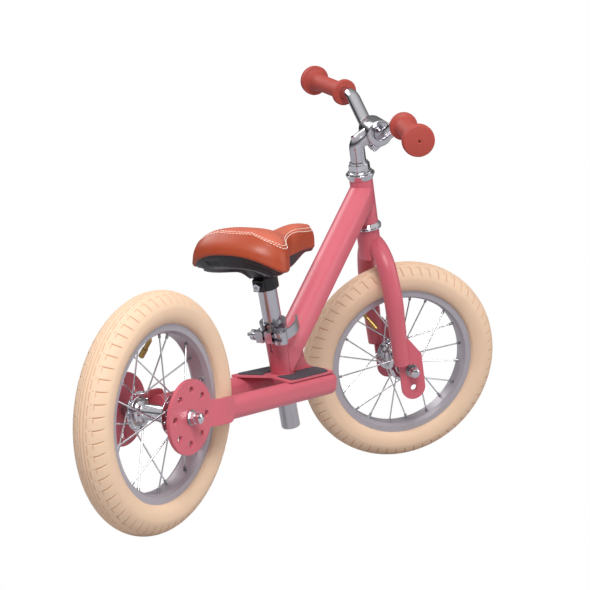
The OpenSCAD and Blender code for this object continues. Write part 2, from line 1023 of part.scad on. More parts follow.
module rear_cones() { rear_wheel_frame() cones(); }
module rear_locknuts() { rear_wheel_frame() locknuts(); }
module rear_washers() { rear_wheel_frame() washers(plate_in + plate_t); }
module rear_axle_nuts() { rear_wheel_frame() axle_nuts(plate_in + plate_t + 1.5); }

// ---- Seat post, quick release and saddle ----

module seat_collar() {
    color("silver")
        seat_frame()
            difference() {
                union() {
                    translate([0, 0, collar_low])
                        cylinder(h = seat_tube_top + 2 - collar_low, r = collar_r);
                    translate([-28, -12.5, release_pos.z - 8])
                        cube([16, 25, 16]);
                }
                translate([0, 0, collar_low - 1])
                    cylinder(h = seat_tube_top + 1 - collar_low, r = seat_tube_r);
                cylinder(h = 120, r = post_r + 0.3);
                translate([-40, -slot_w / 2, collar_low - 1])
                    cube([40, slot_w, 40]);
                translate([release_pos.x, 30, release_pos.z])
                    rotate([90, 0, 0])
                        cylinder(h = 60, r = 2.6);
            }
}

// Rod through the collar's ears, with an eye and a cross pin for the lever
module release_skewer() {
    color("silver")
        seat_frame()
            translate(release_pos) {
                translate([0, 28, 0])
                    rotate([90, 0, 0])
                        cylinder(h = 28 - pin_y, r = 2.5);
                translate([0, pin_y, -2.7])
                    cylinder(h = 5.4, r = 5);
                translate([0, pin_y, -9])
                    cylinder(h = 18, r = 2.95);
            }
}

module release_nut() {
    color("silver")
        seat_frame()
            translate([release_pos.x, 22.5, release_pos.z])
                rotate([90, 0, 0])
                    difference() {
                        union() {
                            cylinder(h = 10, r = 6);
                            translate([0, 0, 1])
                                cylinder(h = 5, r = 7.2);
                        }
                        translate([0, 0, -1])
                            cylinder(h = 12, r = 2.55);
                    }
}

// Cam head in two cheeks, with a curved paddle that lies round the seat tube
module release_lever() {
    arc_c = [2, 3];
    arc_r = 34;
    color("silver")
        seat_frame()
            difference() {
                union() {
                    translate([release_pos.x, pin_y, release_pos.z - 8.5])
                        cylinder(h = 17, r = 9);
                    translate([release_pos.x, pin_y, release_pos.z])
                        rotate([0, -7, 0])
                            translate([-release_pos.x + arc_c.x, arc_c.y - pin_y, -7])
                                rotate([0, 0, -128])
                                    rotate_extrude(angle = 80)
                                        translate([arc_r - 1.5, 0])
                                            square([3, 14]);
                }
                translate([release_pos.x - 15, pin_y - 5.6, release_pos.z - 3])
                    cube([21, 30, 6]);
                translate([release_pos.x, pin_y, release_pos.z - 3])
                    cylinder(h = 6, r = 6);
                translate([release_pos.x, pin_y, release_pos.z - 20])
                    cylinder(h = 40, r = 3);
            }
}

module seat_post() {
    color("silver")
        seat_frame()
            translate([0, 0, post_low])
                difference() {
                    cylinder(h = post_high - post_low, r = post_r);
                    translate([0, 0, -1])
                        cylinder(h = post_high - post_low + 2, r = post_r - 2);
                }
}

module saddle_clamp() {
    color("dimgray")
        seat_frame()
            difference() {
                union() {
                    translate([0, 0, 129.5])
                        cylinder(h = 18, r = 16.5);
                    translate([-20, -8, 130.5])
                        cube([12, 16, 16]);
                }
                translate([0, 0, 128])
                    cylinder(h = post_high - 128, r = post_r + fit_gap);
                translate([-30, 0, 138.5])
                    rotate([0, 90, 0])
                        cylinder(h = 25, r = 3.05);
            }
}

module saddle_clamp_bolt() {
    color("silver")
        seat_frame()
            translate([-25, 0, 138.5])
                rotate([0, 90, 0])
                    difference() {
                        union() {
                            cylinder(h = 4.9, r = 5);
                            cylinder(h = 12, r = 3);
                        }
                        translate([0, 0, -1])
                            cylinder(h = 4, r = 2.9, $fn = 6);
                    }
}

// Half width of the saddle at x: wide behind, a narrow tapering nose, and round ends
function saddle_w(x) =
    let (body = blend(saddle_half_w, nose_half_w, (x - 180) / 105) - blend(0, 8.5, (x - 285) / 70))
    let (back = max(0, (192 - x) / (192 - saddle_rear)))
    let (front = max(0, (x - 350) / (saddle_nose - 350)))
    body * pow(max(0, 1 - pow(back, 2.6)), 0.42) * pow(max(0, 1 - pow(front, 2.2)), 0.5);

// Height of the saddle's top along the middle, with a dip before the nose
function saddle_top_z(x) =
    blend(saddle_top - 9, saddle_top, (x - saddle_rear) / 35)
    - 8 * smooth((x - 210) / 60) + 6 * smooth((x - 272) / 55) - 9 * pow(max(0, (x - 345) / 28), 2);

// Height of the cover's lower edge
function saddle_edge_z(x) =
    blend(313, 332, (x - 190) / 140) + 21 * pow(max(0, (saddle_rear + 35 - x) / 35), 1.7);

// Closed skin over rings of points, with a fan at each end
module skin(rings) {
    n = len(rings[0]);
    m = len(rings);
    sides = [for (i = [0:m - 2], j = [0:n - 1]) each
        [[i * n + j, i * n + (j + 1) % n, (i + 1) * n + (j + 1) % n],
         [i * n + j, (i + 1) * n + (j + 1) % n, (i + 1) * n + j]]];
    ends = [[for (j = [0:n - 1]) n - 1 - j], [for (j = [0:n - 1]) (m - 1) * n + j]];
    polyhedron(points = [for (r = rings) each r], faces = concat(sides, ends));
}

// Cross-section at x: a crown over a flat bottom, or turned over with a negative height
function crown(x, w, base, h, power) =
    [for (k = [0:20]) let (a = 180 * k / 20) let (c = cos(a))
        [x, w * sign(c) * pow(abs(c), 2 / power), base + h * pow(sin(a), 2 / power)]];

module saddle_cushion() {
    xs = [for (k = [0:26]) saddle_rear + 0.4 + (saddle_nose - saddle_rear - 0.8) * (1 - cos(180 * k / 26)) / 2];
    color("sienna")
        skin([for (x = xs) crown(x, saddle_w(x), saddle_edge_z(x), saddle_top_z(x) - saddle_edge_z(x), 2.6)]);
}

// Plastic shell under the cover, deepest where it rests on the clamp
module saddle_base() {
    xs = [for (k = [0:22]) saddle_rear + 7 + (saddle_nose - saddle_rear - 16) * (1 - cos(180 * k / 22)) / 2];
    color("dimgray")
        skin([for (x = xs)
            let (edge = saddle_edge_z(x) - 0.3)
            let (keel = min(edge - 6, blend(316, 303, (x - 158) / 60) + 22 * smooth((x - 270) / 70)))
            let (boss = 300.3 + 0.344 * (x - 247))
            let (low = keel + (boss - keel) * smooth((x - 208) / 20) * smooth((294 - x) / 24))
            [for (p = crown(x, saddle_w(x) * 0.93, edge, low - edge, 2.2)) [p.x, -p.y, p.z]]]);
}

head_tube();
down_tube();
seat_tube();
base_rail();
deck_plate();
dropout_plates();
foot_pads();
upper_cup();
lower_cup();
seat_collar();
release_skewer();
release_nut();
rear_axle();
rear_cones();
rear_locknuts();
rear_washers();
rear_axle_nuts();
fork_steerer();
fork_leg_left();
fork_leg_right();
fork_dropouts();
crown_race();
adjusting_race();
headset_washer();
headset_locknut();
headset_balls();
stem();
stem_bolt();
stem_wedge();
bar_clamp_bolt();
handlebar();
left_grip();
right_grip();
front_axle();
front_cones();
front_locknuts();
front_washers();
front_axle_nuts();
front_tyre();
front_inner_tube();
front_rim();
front_spokes();
front_nipples();
front_hub();
front_valve();
front_hub_balls();
rear_tyre();
rear_inner_tube();
rear_rim();
rear_spokes();
rear_nipples();
rear_hub();
rear_valve();
rear_hub_balls();
seat_post();
saddle_base();
saddle_cushion();
saddle_clamp();
saddle_clamp_bolt();
release_lever();
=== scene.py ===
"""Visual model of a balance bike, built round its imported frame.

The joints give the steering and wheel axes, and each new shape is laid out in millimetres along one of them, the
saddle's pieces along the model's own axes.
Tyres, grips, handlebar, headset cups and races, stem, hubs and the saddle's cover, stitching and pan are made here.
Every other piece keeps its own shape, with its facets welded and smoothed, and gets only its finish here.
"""

import json
import math

import bmesh
import bpy
import numpy as np
from mathutils import Matrix, Vector


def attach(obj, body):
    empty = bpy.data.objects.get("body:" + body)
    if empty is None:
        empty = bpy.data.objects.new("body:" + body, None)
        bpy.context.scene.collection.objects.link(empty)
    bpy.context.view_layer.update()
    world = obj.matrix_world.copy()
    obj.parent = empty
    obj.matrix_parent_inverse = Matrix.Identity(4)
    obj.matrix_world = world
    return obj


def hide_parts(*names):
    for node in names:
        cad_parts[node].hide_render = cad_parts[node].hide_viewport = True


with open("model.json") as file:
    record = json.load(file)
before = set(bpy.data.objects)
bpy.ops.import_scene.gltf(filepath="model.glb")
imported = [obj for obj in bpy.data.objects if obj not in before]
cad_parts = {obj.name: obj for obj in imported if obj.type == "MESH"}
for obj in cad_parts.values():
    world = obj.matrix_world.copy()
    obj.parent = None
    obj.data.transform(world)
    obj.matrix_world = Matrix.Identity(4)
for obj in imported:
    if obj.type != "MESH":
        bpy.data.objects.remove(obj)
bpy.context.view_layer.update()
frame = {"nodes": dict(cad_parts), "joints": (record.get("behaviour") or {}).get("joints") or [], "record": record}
nodes = frame["nodes"]
joints = {j["name"]: j for j in frame["joints"]}
MM = 0.001

# ---------------------------------------------------------------- places


def unit(v):
    """v at length one."""
    v = np.asarray(v, float)
    return v / np.linalg.norm(v)


class Place:
    """An origin and three axes; points in it are rows of millimetres along those axes."""

    def __init__(self, origin, x, y):
        self.origin = np.asarray(origin, float)
        self.x, self.y = unit(x), unit(y)
        self.z = np.cross(self.x, self.y)

    def __call__(self, points):
        points = np.asarray(points, float) * MM
        return self.origin + points[..., :1] * self.x + points[..., 1:2] * self.y + points[..., 2:3] * self.z


steer_up = unit(joints["steering"]["axis"])
axle_left = unit(joints["front_wheel_spin"]["axis"])
STEERED = Place(joints["steering"]["pos_m"], np.cross(axle_left, steer_up), axle_left)
FRONT_WHEEL = Place(joints["front_wheel_spin"]["pos_m"], STEERED.x, np.cross(axle_left, STEERED.x))
REAR_WHEEL = Place(joints["rear_wheel_spin"]["pos_m"], (1, 0, 0), (0, 0, -1))

# ---------------------------------------------------------------- meshes


def piece(name, points, faces, body, material, stands_for=(), smooth=True):
    """A mesh object from rows of points and faces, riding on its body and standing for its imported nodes."""
    mesh = bpy.data.meshes.new(name)
    mesh.from_pydata(np.asarray(points, float).reshape(-1, 3).tolist(), [], [list(map(int, f)) for f in faces])
    mesh.validate()
    mesh.polygons.foreach_set("use_smooth", np.full(len(mesh.polygons), smooth))
    made = bpy.data.objects.new(name, mesh)
    bpy.context.scene.collection.objects.link(made)
    mesh.materials.append(material)
    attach(made, body)
    if stands_for:
        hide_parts(*stands_for)
    return made


def grid_faces(rows, columns, wrap_rows=False, wrap_columns=False, flip=False):
    """Quads between neighbours of a grid of rows by columns, stored row by row."""
    i = np.arange(rows if wrap_rows else rows - 1)[:, None]
    j = np.arange(columns if wrap_columns else columns - 1)[None, :]
    i2, j2 = (i + 1) % rows, (j + 1) % columns
    quads = np.stack([i * columns + j, i2 * columns + j, i2 * columns + j2, i * columns + j2], -1).reshape(-1, 4)
    return quads[:, ::-1] if flip else quads


def tidy(made, merge=1e-6):
    """Welds points that fall together, as at poles, and turns every face outwards."""
    work = bmesh.new()
    work.from_mesh(made.data)
    bmesh.ops.remove_doubles(work, verts=work.verts, dist=merge)
    bmesh.ops.dissolve_degenerate(work, edges=work.edges, dist=merge / 2)
    bmesh.ops.recalc_face_normals(work, faces=work.faces)
    work.to_mesh(made.data)
    work.free()
    return made


def turned(name, profile, place, body, material, stands_for=(), sides=96):
    """A lathe piece: each (height, radius) of the profile, in millimetres, goes round the place's z axis once."""
    profile = np.asarray(profile, float)
    angle = np.linspace(0, 2 * np.pi, sides, endpoint=False)[None, :]
    h, r = profile[:, :1], profile[:, 1:2]
    ring = np.stack([r * np.cos(angle), r * np.sin(angle), h + 0 * angle], -1)
    faces = grid_faces(len(profile), sides, wrap_columns=True)
    return tidy(piece(name, place(ring), faces, body, material, stands_for))


def rounded(corners, radii, steps=6):
    """An open outline with each inner corner replaced by an arc of its radius."""
    corners = np.asarray(corners, float)
    out = [corners[0]]
    for before, at, after, r in zip(corners[:-2], corners[1:-1], corners[2:], radii):
        u, v = unit(before - at), unit(after - at)
        half = math.acos(np.clip(u @ v, -1, 1)) / 2
        if r <= 0 or abs(half - math.pi / 2) < 1e-3:
            out.append(at)
            continue
        centre = at + unit(u + v) * r / math.sin(half)
        start, end = at + u * r / math.tan(half) - centre, at + v * r / math.tan(half) - centre
        turn = math.pi - 2 * half
        for k in range(steps + 1):
            q = k / steps
            out.append(centre + (start * math.sin(turn * (1 - q)) + end * math.sin(turn * q)) / math.sin(turn))
    out.append(corners[-1])
    return np.array(out)


def frames_along(path):
    """Unit tangents of a path and two unit vectors square to it that turn as little as they can."""
    tangent = np.gradient(path, axis=0)
    tangent /= np.linalg.norm(tangent, axis=1)[:, None]
    side = np.cross(tangent[0], (0.0, 0.0, 1.0))
    if np.linalg.norm(side) < 1e-3:
        side = np.cross(tangent[0], (0.0, 1.0, 0.0))
    sides = []
    for t in tangent:
        side = unit(side - t * (side @ t))
        sides.append(side)
    sides = np.array(sides)
    return tangent, sides, np.cross(tangent, sides)


def swept(name, path, section, body, material, stands_for=(), closed=False):
    """A piece whose section, rows of (across, up) or one such set per path point, is carried along a path."""
    path = np.asarray(path, float)
    section = np.asarray(section, float)
    if section.ndim == 2:
        section = np.repeat(section[None], len(path), 0)
    _, a, b = frames_along(path)
    points = path[:, None] + section[..., :1] * a[:, None] + section[..., 1:2] * b[:, None]
    count = section.shape[1]
    faces = [list(f) for f in grid_faces(len(path), count, wrap_rows=closed, wrap_columns=True)]
    if not closed:
        faces += [list(range(count))[::-1], [(len(path) - 1) * count + k for k in range(count)]]
    return tidy(piece(name, points, faces, body, material, stands_for), 1e-7)


def ease(t):
    """A smooth step from nought to one: three t squared less two t cubed, with t held between them."""
    t = np.clip(t, 0, 1)
    return t * t * (3 - 2 * t)


def mark(made, name, values):
    """Stores one number a point under a name that a material reads."""
    made.data.attributes.new(name, "FLOAT", "POINT").data.foreach_set("value", values.astype(np.float32).ravel())


def circle(r, sides):
    """Points of a circle of radius r."""
    a = np.linspace(0, 2 * np.pi, sides, endpoint=False)
    return np.stack([r * np.cos(a), r * np.sin(a)], -1)


# ---------------------------------------------------------------- materials


def linear(hex_colour):
    """An sRGB hex colour as linear red, green, blue and full alpha."""
    parts = [int(hex_colour[k : k + 2], 16) / 255 for k in (1, 3, 5)]
    return [c / 12.92 if c <= 0.04045 else ((c + 0.055) / 1.055) ** 2.4 for c in parts] + [1.0]


def add(tree, kind, settings=None, links=None):
    """One shader node with its input values and properties set and its inputs linked."""
    made = tree.nodes.new(kind)
    for key, value in (settings or {}).items():
        if isinstance(key, int) or key in made.inputs:
            made.inputs[key].default_value = value
        else:
            setattr(made, key, value)
    for key, source in (links or {}).items():
        tree.links.new(source, made.inputs[key])
    return made


def finish(name, colour, roughness, metallic=0.0, mottle=0.0, mottle_mm=40.0, grain=0.0, grain_mm=1.0,
           rough_spread=0.0, edge_mm=0.0, kind="noise"):
    """A surface: base colour with slow mottling, roughness that wanders, and fine bump of a real grain size."""
    made = bpy.data.materials.new(name)
    made.use_nodes = True
    tree = made.node_tree
    surface = tree.nodes["Principled BSDF"]
    surface.inputs["Roughness"].default_value = roughness
    surface.inputs["Metallic"].default_value = metallic
    surface.inputs["Base Color"].default_value = linear(colour)
    where = add(tree, "ShaderNodeTexCoord").outputs["Object"]
    slow = add(tree, "ShaderNodeTexNoise", {"Scale": 1000 / mottle_mm, "Detail": 4.0}, {"Vector": where})
    dark = [c * (1 - mottle) for c in linear(colour)[:3]] + [1.0]
    light = [min(1.0, c * (1 + mottle)) for c in linear(colour)[:3]] + [1.0]
    mix = add(tree, "ShaderNodeMix", {"data_type": "RGBA"}, {0: slow.outputs["Fac"]})
    mix.inputs[6].default_value, mix.inputs[7].default_value = dark, light
    tree.links.new(mix.outputs[2], surface.inputs["Base Color"])
    if rough_spread:
        spread = add(tree, "ShaderNodeMapRange", {"From Min": 0.3, "From Max": 0.7,
                     "To Min": max(0.02, roughness - rough_spread), "To Max": roughness + rough_spread},
                     {"Value": slow.outputs["Fac"]})
        tree.links.new(spread.outputs["Result"], surface.inputs["Roughness"])
    normal = None
    if edge_mm:
        normal = add(tree, "ShaderNodeBevel", {"samples": 4, "Radius": edge_mm * MM}).outputs["Normal"]
    if grain:
        if kind == "cells":
            fine = add(tree, "ShaderNodeTexVoronoi", {"Scale": 1000 / grain_mm},
                       {"Vector": where}).outputs["Distance"]
        else:
            fine = add(tree, "ShaderNodeTexNoise", {"Scale": 1000 / grain_mm, "Detail": 3.0},
                       {"Vector": where}).outputs["Fac"]
        bump = add(tree, "ShaderNodeBump", {"Strength": grain, "Distance": grain_mm * MM * 0.3}, {"Height": fine})
        if normal:
            tree.links.new(normal, bump.inputs["Normal"])
        normal = bump.outputs["Normal"]
    if normal:
        tree.links.new(normal, surface.inputs["Normal"])
    return made


# Powder coat on steel tube: satin, faint orange peel about 1.5 mm across, softened edges
powder_coat = finish("powder_coated_steel", "#CB606E", 0.36, mottle=0.03, grain=0.10, grain_mm=1.6,
                     rough_spread=0.04, edge_mm=0.8)
# Bright chrome plate over polished steel
chrome = finish("chromed_steel", "#D2D1D6", 0.08, 1.0, mottle=0.03, mottle_mm=25, rough_spread=0.03)
# Zinc-plated steel of the axles, cones and balls: grey and a little dull
zinc = finish("zinc_plated_steel", "#A9A9AC", 0.3, 1.0, mottle=0.10, mottle_mm=8, rough_spread=0.08, edge_mm=0.3)
# Polished aluminium of the stem, post and clamp
polished = finish("polished_aluminium", "#C4C2C8", 0.17, 1.0, mottle=0.04, mottle_mm=30, rough_spread=0.05)
# Satin-painted rim in pale silver-lavender
rim_silver = finish("satin_silver_rim", "#B4AFB6", 0.34, 0.45, mottle=0.03, grain=0.04, grain_mm=1.0, edge_mm=0.4)
# Turned brass of the valves
brass = finish("brass", "#B4935A", 0.33, 1.0, mottle=0.08, mottle_mm=6, rough_spread=0.06, edge_mm=0.3)
# Moulded rubber of the grips, terracotta, matt with a fine texture
grip_rubber = finish("moulded_rubber_grip", "#AA4238", 0.62, mottle=0.05, mottle_mm=20, grain=0.25, grain_mm=0.7,
                     rough_spread=0.06)
# Butyl rubber of the hidden inner tubes
butyl = finish("butyl_rubber", "#1C1C1D", 0.7, grain=0.1, grain_mm=1.0)
# Injection-moulded polypropylene under the saddle, dark grey with a fine spark texture
base_plastic = finish("moulded_pp", "#1C1B21", 0.38, mottle=0.05, grain=0.18, grain_mm=0.8, rough_spread=0.06)
# Black gloss lacquer of the saddle clamp
black_lacquer = finish("black_lacquer", "#141416", 0.24, mottle=0.05, edge_mm=0.6)
# Grit-coated sheet on the deck: grit about 0.6 mm, drawn 1 mm across so that it shows
grip_tape = finish("grip_tape", "#45424A", 0.85, mottle=0.12, mottle_mm=6, grain=0.9, grain_mm=1.0, kind="cells")
# Polyester sewing thread, cream
thread = finish("polyester_thread", "#F8EADC", 0.7, mottle=0.05, mottle_mm=3, grain=0.3, grain_mm=0.4)


def tint_where(made, attribute, colour):
    """Blends a finish towards another colour as far as a mesh attribute says, from nought to one."""
    tree = made.node_tree
    base = tree.nodes["Principled BSDF"].inputs["Base Color"]
    source = base.links[0].from_socket
    share = add(tree, "ShaderNodeAttribute", {"attribute_name": attribute})
    mix = add(tree, "ShaderNodeMix", {"data_type": "RGBA"}, {0: share.outputs["Fac"]})
    tree.links.new(source, mix.inputs[6])
    mix.inputs[7].default_value = linear(colour)
    tree.links.new(mix.outputs[2], base)
    return made


# Natural rubber, cream and matt, with painted shade down in the grooves: warmer and darker there
tyre_cream = tint_where(
    finish("natural_rubber_tyre", "#E3C3A6", 0.68, mottle=0.035, mottle_mm=30, grain=0.18, grain_mm=0.9,
           rough_spread=0.05), "groove", "#C58F6C")
# Smooth cognac leather: cells of grain about 1.3 mm across, satin, with painted shade down the skirt, which is tinted
# redder and darker than the top
leather = tint_where(
    finish("stitched_leather", "#C8664F", 0.44, mottle=0.07, mottle_mm=18, grain=0.22, grain_mm=1.3,
           rough_spread=0.07, kind="cells"), "skirt", "#A5401F")

SLOT_FINISH = {
    "paint": powder_coat, "grip_tape": grip_tape, "chrome": chrome, "steel": zinc, "aluminium": polished,
    "grip_rubber": grip_rubber, "tyre": tyre_cream, "inner_tube": butyl, "rim": rim_silver, "brass": brass,
    "base_plastic": base_plastic, "clamp_paint": black_lacquer, "leather": leather,
}


CREASE = math.radians(32)


def dress_packed_nodes():
    """Gives each node of the frame its finish, welds its triangles and smooths across facets flatter than CREASE."""
    slots = {s["node"]: s["material_slot"] for s in frame["record"]["subparts"]}
    for name, node in nodes.items():
        node.data.materials.clear()
        node.data.materials.append(SLOT_FINISH[slots[name]])
        node.data.polygons.foreach_set("use_smooth", np.ones(len(node.data.polygons), bool))
        weld = node.modifiers.new("weld", "WELD")
        weld.merge_threshold = 2e-6
        split = node.modifiers.new("creases", "EDGE_SPLIT")
        split.split_angle = CREASE


# ---------------------------------------------------------------- tyres

TYRE_R = 150.0
SECTION_R = 24.0
PITCHES = 60
PITCH = 2 * np.pi * TYRE_R / PITCHES
SKIN = 0.4  # the tread's face lies this far inside the section, so that its ridges stay within it


def bump_at(x, centre, half_width):
    """A smooth groove profile: one at the centre, falling to nothing at the half width."""
    return ease(1 - np.abs(x - centre) / half_width)


def tread_depth(u, v):
    """Groove depth in millimetres at u round one pitch and v across the crown.

    Two rings of thin sipes run beside the middle, the outer one broken into dashes. Beyond them come a row of dots
    and, on each shoulder, one cross groove a pitch with a short dash beside its inner end.
    """
    a = np.abs(v)
    centred = (u + PITCH / 2) % PITCH - PITCH / 2
    ring = bump_at(a, 2.4, 0.9)
    dashes = bump_at(a, 6.3, 0.9) * (np.abs(centred) > 2.3)
    dots = bump_at(a, 10.4, 1.3) * bump_at(centred, 0, 1.4)
    cross = bump_at(centred, 0, 1.1) * np.clip((a - 13.2) / 0.8, 0, 1) * np.clip((30.0 - a) / 3.5, 0, 1)
    hook = bump_at(a, 14.2, 0.9) * ((u % PITCH) > PITCH - 6.5) * ((u % PITCH) < PITCH - 1.2)
    return 0.7 * ring + 0.8 * dashes + 0.7 * dots + 1.0 * cross + 0.7 * hook


def make_tyre(name, place, body, node):
    """A closed ring: a circular section from bead to bead and an inner wall back, with the tread cut into it."""
    local = np.array([0, 0.5, 1.0, 1.6, 2.4, 3.6, 4.8, 6.0, 7.2, 8.4, 9.4, 10.8, 12.2, 13.4, 14.4, 15.2])
    u = (np.arange(PITCHES)[:, None] * PITCH + local[None, :]).reshape(-1, 1)
    fine = np.arange(0.3, 15.4, 0.6)
    coarse = np.arange(16.5, 31.0, 1.5)
    wall = np.linspace(33.0, 54.5, 8)
    v = np.concatenate([fine, coarse, wall])
    v = np.concatenate([-v[::-1], v])[None, :]
    lag = 3.0 * np.clip((np.abs(v) - 12) / 18, 0, 1) ** 2
    depth = tread_depth(u + 0 * v, v + 0 * u)
    ridge = 0.5 * bump_at(np.abs(v), 33.0, 2.2)
    seam = 0.35 * bump_at(np.abs(v), 47.0, 1.6)
    r = SECTION_R - depth - SKIN + ridge + seam
    theta = (u + lag) / TYRE_R
    phi = v / SECTION_R
    radial = TYRE_R - SECTION_R + r * np.cos(phi)
    axial = r * np.sin(phi)
    # Bead and inner wall, from the right bead round the inside to the left one
    inside = np.array([(110.6, 15.2), (108.5, 13.2), (104.8, 13.0), (104.8, 10.6), (109.5, 10.6), (121.0, 18.0),
                       (135.0, 18.5), (146.0, 8.0)])
    inside = np.concatenate([inside, inside[::-1] * (1, -1)])
    radial = np.concatenate([radial, np.repeat(inside[None, :, 0], len(u), 0)], 1)
    axial = np.concatenate([axial, np.repeat(inside[None, :, 1], len(u), 0)], 1)
    flat = np.repeat(u / TYRE_R, len(inside), 1)
    theta = np.concatenate([theta + 0 * radial[:, : v.shape[1]], flat], 1)
    points = place(np.stack([radial * np.cos(theta), radial * np.sin(theta), axial], -1))
    rows, columns = radial.shape
    made = piece(name, points, grid_faces(rows, columns, True, True), body, tyre_cream, (node,))
    # Painted shade in the grooves: the deeper the groove, the more the tyre is tinted warmer and darker
    painted_groove_shade = np.concatenate([np.clip(depth * 1.1, 0, 1), np.zeros((len(u), len(inside)))], 1)
    mark(made, "groove", painted_groove_shade)


def make_tyres():
    """Front and rear tyres of one pattern."""
    make_tyre("front_tyre_tread", FRONT_WHEEL, "front_wheel", "front_tyre")
    make_tyre("rear_tyre_tread", REAR_WHEEL, "rear_wheel", "rear_tyre")


# ---------------------------------------------------------------- grips and handlebar


# The left grip's two ends, in millimetres forward of the steering axis, to the left and up it
GRIP_INNER, GRIP_OUTER = np.array([31.0, 115.0, 384.0]), np.array([16.5, 204.0, 387.5])
BAR_CENTRE = np.array([31.0, 0.0, 351.0])


def make_grip(side):
    """A moulded spool: a slim waist that flares into a small inner flange and a wide, domed outer end."""
    mirror = (1, 1 if side == "left" else -1, 1)
    length = float(np.linalg.norm(GRIP_OUTER - GRIP_INNER))
    origin = STEERED(GRIP_INNER * mirror)
    along = unit(STEERED(GRIP_OUTER * mirror) - origin)
    across = np.cross((0, 0, 1.0), along)
    place = Place(origin, across, np.cross(along, across))
    q = np.linspace(0, 1, 30)
    waist_h = 5.4 + q * (length - 11.6)
    waist_r = 12.3 + 3.0 * np.exp(-q * 22) + 4.6 * np.exp(-(1 - q) * 22)
    inner_end = rounded([(-3, 9.6), (-3, 19.2), (3.2, 19.2), (5.0, 17.8)], (2.2, 2.2))
    rim = rounded([(length - 5.0, 17.5), (length - 4.6, 22.0), (length + 1.2, 22.0), (length + 1.6, 20.6),
                   (length + 2.6, 20.6), (length + 3.0, 21.6), (length + 6.2, 21.0), (length + 6.6, 18.0)],
                  (1.2, 0.7, 0.3, 0.3, 0.6, 1.6))
    dome = [(length + 6.6 + 1.4 * (1 - (r / 18.0) ** 2), r) for r in np.linspace(16.5, 1.9, 9)]
    hole = [(length + 7.6, 1.5), (length + 2.0, 1.4), (length + 2.0, 0.0)]
    profile = np.concatenate([inner_end, np.stack([waist_h, waist_r], -1), rim, dome, hole])
    turned(f"{side}_grip_moulding", profile, place, "fork", grip_rubber, (f"{side}_grip",))


def smooth_path(corners, radii, spacing=2.0):
    """A path through corners whose bends are arcs, resampled to even steps in millimetres."""
    dense = rounded(corners, radii, 24)
    step = np.linalg.norm(np.diff(dense, axis=0), axis=1)
    along = np.concatenate([[0], np.cumsum(step)])
    even = np.linspace(0, along[-1], max(2, int(along[-1] / spacing)))
    return np.stack([np.interp(even, along, dense[:, k]) for k in range(3)], -1)


def make_handlebar():
    """One chromed tube: straight through the clamp, up on each side and back through the grips."""
    half = [(31, 34, 351), (34.7, 92, 383.1), (17, 201.5, 387.4)]
    corners = [(x, -y, z) for x, y, z in half[::-1]] + half
    path = STEERED(smooth_path(corners, (34, 34, 34, 34)))
    swept("handlebar_tube", path, circle(9.5 * MM, 48), "fork", chrome, ("handlebar",))


# ---------------------------------------------------------------- stem, headset and hubs


def ring_profile(corners, radii):
    """A closed outline of (height, radius) corners with rounded edges, its first point repeated at the end."""
    ring = rounded([corners[-1], *corners, corners[0]], radii, 5)[1:-1]
    return np.concatenate([ring, ring[:1]])


def make_headset():
    """Cups and races turned about the steering axis, each with a small round on its edges."""
    parts = {
        "upper_cup": ("frame", [(278, 15), (287, 15), (287, 17.4), (294.5, 20.8), (296, 20.8), (296, 18.6),
                                (290.4, 18.6), (290.4, 13.4), (278, 13.4)]),
        "lower_cup": ("frame", [(230.5, 15), (221.5, 15), (221.5, 17.4), (217.2, 20.5), (215.7, 20.5), (215.7, 18.6),
                                (220, 18.6), (220, 13.4), (230.5, 13.4)]),
        "crown_race": ("fork", [(213.1, 12.8), (213.1, 20.4), (214.8, 20.4), (215.8, 17.6), (215.8, 14.2),
                                (216.6, 12.8)]),
        "adjusting_race": ("fork", [(292.6, 12.8), (294.5, 14.2), (294.5, 18), (298.6, 18), (299.5, 15.6),
                                    (299.5, 12.8)]),
    }
    for node, (body, corners) in parts.items():
        profile = ring_profile(corners, [0.35] * len(corners))
        turned(f"{node}_turned", profile, STEERED, body, chrome, (node,))


def make_hub(name, place, body, node):
    """A turned shell: a slim barrel that swells into two bevelled flanges, with a bearing cup in each end."""
    half = [(0, 10), (15.5, 10), (18, 14), (20.5, 16), (24.7, 18), (24.7, 25), (25.7, 25), (27.3, 20.0), (27.3, 15.5),
            (31, 15.5), (31, 11.9), (22.9, 11.9), (22.9, 6.5), (0, 6.5)]
    radii = (3, 2.5, 3, 1.2, 0.3, 0.3, 1.2, 1.2, 0.6, 0.4, 0.4, 0.4)
    left = rounded(half, radii, 5)
    profile = np.concatenate([left[::-1], (left * (-1, 1))[1:], left[-1:]])
    turned(name, profile, place, body, chrome, (node,))


